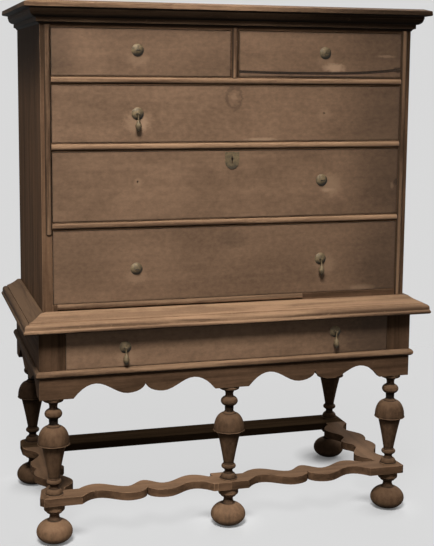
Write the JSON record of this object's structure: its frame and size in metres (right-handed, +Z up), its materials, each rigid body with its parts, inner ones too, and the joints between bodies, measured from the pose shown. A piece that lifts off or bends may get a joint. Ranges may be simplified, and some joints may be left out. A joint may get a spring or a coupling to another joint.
{
  "type": "chest of drawers",
  "caption": "Chest of drawers on a low stand with a drawer, turned cup legs, shaped flat stretchers and ball feet, with drop pulls.",
  "frame": {"origin": "on the floor, under the middle of the chest's bounding box", "axes": "+Z up, -Y towards the drawer fronts, +X to the right for someone facing the drawers"},
  "size_m": [1.0178, 0.5175, 1.277],
  "materials": {
    "case_wood": "old waxed walnut, rubbed on the edges",
    "turned_wood": "old waxed walnut, turned",
    "moulding_wood": "worn waxed walnut",
    "drawer_front_wood": "old waxed burr walnut veneer",
    "inner_wood": "bare dry oak, grey with age",
    "brass": "dull tarnished brass",
    "iron": "dark wrought iron"
  },
  "bodies": {
    "stand": {"foot_front_left": "turned_wood", "foot_front_middle": "turned_wood", "foot_front_right": "turned_wood", "foot_rear_left": "turned_wood", "foot_rear_right": "turned_wood", "leg_front_left": "turned_wood", "leg_front_middle": "turned_wood", "leg_front_right": "turned_wood", "leg_rear_left": "turned_wood", "leg_rear_right": "turned_wood", "stretcher_front_left": "case_wood", "stretcher_front_right": "case_wood", "stretcher_left": "case_wood", "stretcher_right": "case_wood", "stretcher_back": "inner_wood", "apron_front": "case_wood", "stand_side_left": "case_wood", "stand_side_right": "case_wood", "stand_back": "inner_wood", "stand_front_frame": "case_wood", "leg_blocks": "inner_wood", "stand_runners": "inner_wood", "waist_moulding": "moulding_wood", "stand_bead": "moulding_wood"},
    "upper_case": {"case_side_left": "case_wood", "case_side_right": "case_wood", "case_top": "case_wood", "case_bottom": "case_wood", "case_back": "inner_wood", "drawer_rails": "case_wood", "top_divider": "case_wood", "drawer_runners": "inner_wood", "cornice": "moulding_wood", "bead_moulding": "moulding_wood"},
    "short_left_drawer": {"short_left_front": "drawer_front_wood", "short_left_box": "inner_wood", "short_left_brass": "brass"},
    "short_right_drawer": {"short_right_front": "drawer_front_wood", "short_right_box": "inner_wood", "short_right_brass": "brass"},
    "upper_drawer": {"upper_front": "drawer_front_wood", "upper_box": "inner_wood", "upper_brass": "brass"},
    "middle_drawer": {"middle_front": "drawer_front_wood", "middle_box": "inner_wood", "middle_brass": "brass", "lock_case": "iron"},
    "lower_drawer": {"lower_front": "drawer_front_wood", "lower_box": "inner_wood", "lower_brass": "brass"},
    "stand_drawer": {"stand_drawer_front": "drawer_front_wood", "stand_drawer_box": "inner_wood", "stand_brass": "brass"},
    "upper_left_drop": {"upper_left_drop": "brass"},
    "lower_right_drop": {"lower_right_drop": "brass"},
    "stand_left_drop": {"stand_left_drop": "brass"},
    "stand_right_drop": {"stand_right_drop": "brass"},
    "lock_bolt": {"lock_bolt": "iron"}
  },
  "joints": [
    {"name": "case_lift", "type": "slide", "parent": "stand", "child": "upper_case", "axis": [0, 0, 1], "range_m": [0, 0.05]},
    {"name": "short_left_slide", "type": "slide", "parent": "upper_case", "child": "short_left_drawer", "axis": [0, -1, 0], "range_m": [0, 0.3]},
    {"name": "short_right_slide", "type": "slide", "parent": "upper_case", "child": "short_right_drawer", "axis": [0, -1, 0], "range_m": [0, 0.3]},
    {"name": "upper_slide", "type": "slide", "parent": "upper_case", "child": "upper_drawer", "axis": [0, -1, 0], "range_m": [0, 0.3]},
    {"name": "middle_slide", "type": "slide", "parent": "upper_case", "child": "middle_drawer", "axis": [0, -1, 0], "range_m": [0, 0.3]},
    {"name": "lower_slide", "type": "slide", "parent": "upper_case", "child": "lower_drawer", "axis": [0, -1, 0], "range_m": [0, 0.3]},
    {"name": "stand_slide", "type": "slide", "parent": "stand", "child": "stand_drawer", "axis": [0, -1, 0], "range_m": [0, 0.3]},
    {"name": "upper_left_drop_swing", "type": "hinge", "parent": "upper_drawer", "child": "upper_left_drop", "pos_m": [-0.232, -0.2108, 1.023], "axis": [-1, 0, 0], "range_deg": [0, 80]},
    {"name": "lower_right_drop_swing", "type": "hinge", "parent": "lower_drawer", "child": "lower_right_drop", "pos_m": [0.23, -0.2108, 0.665], "axis": [-1, 0, 0], "range_deg": [0, 80]},
    {"name": "stand_left_drop_swing", "type": "hinge", "parent": "stand_drawer", "child": "stand_left_drop", "pos_m": [-0.266, -0.2308, 0.475], "axis": [-1, 0, 0], "range_deg": [0, 80]},
    {"name": "stand_right_drop_swing", "type": "hinge", "parent": "stand_drawer", "child": "stand_right_drop", "pos_m": [0.266, -0.2308, 0.483], "axis": [-1, 0, 0], "range_deg": [0, 80]},
    {"name": "lock_bolt_throw", "type": "slide", "parent": "middle_drawer", "child": "lock_bolt", "axis": [0, 0, 1], "range_m": [0, 0.007]}
  ]
}
